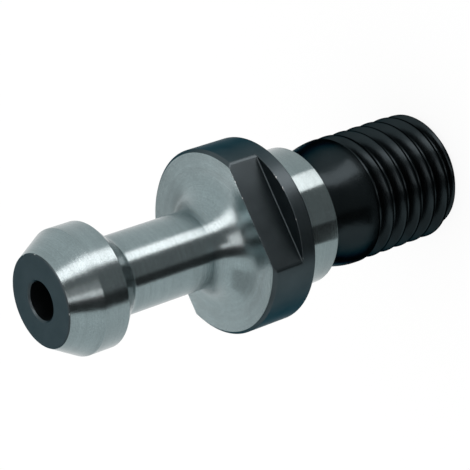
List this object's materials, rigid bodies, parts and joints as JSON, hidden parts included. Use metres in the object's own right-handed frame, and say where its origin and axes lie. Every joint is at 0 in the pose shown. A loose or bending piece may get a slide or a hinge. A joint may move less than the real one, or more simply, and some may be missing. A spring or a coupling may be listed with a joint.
{
  "type": "pull stud",
  "caption": "Turned one-piece steel stud for a tool holder: bored grip head with a coned back, slim neck, flange with spanner flats, pilot and threaded shank.",
  "frame": {"origin": "centre of the seat, the flange's rear face, on the turning axis at the root of the pilot", "axes": "+Z along the turning axis from the thread to the head, which is up; the two spanner flats face -Y and +Y"},
  "size_m": [0.0226, 0.0226, 0.058],
  "materials": {
    "bright_steel": "fine turned and ground, bright",
    "black_oxide": "satin black oxide, oiled, worn thin on its edges"
  },
  "bodies": {
    "root": {"pull_stud": "bright_steel"}
  },
  "joints": []
}
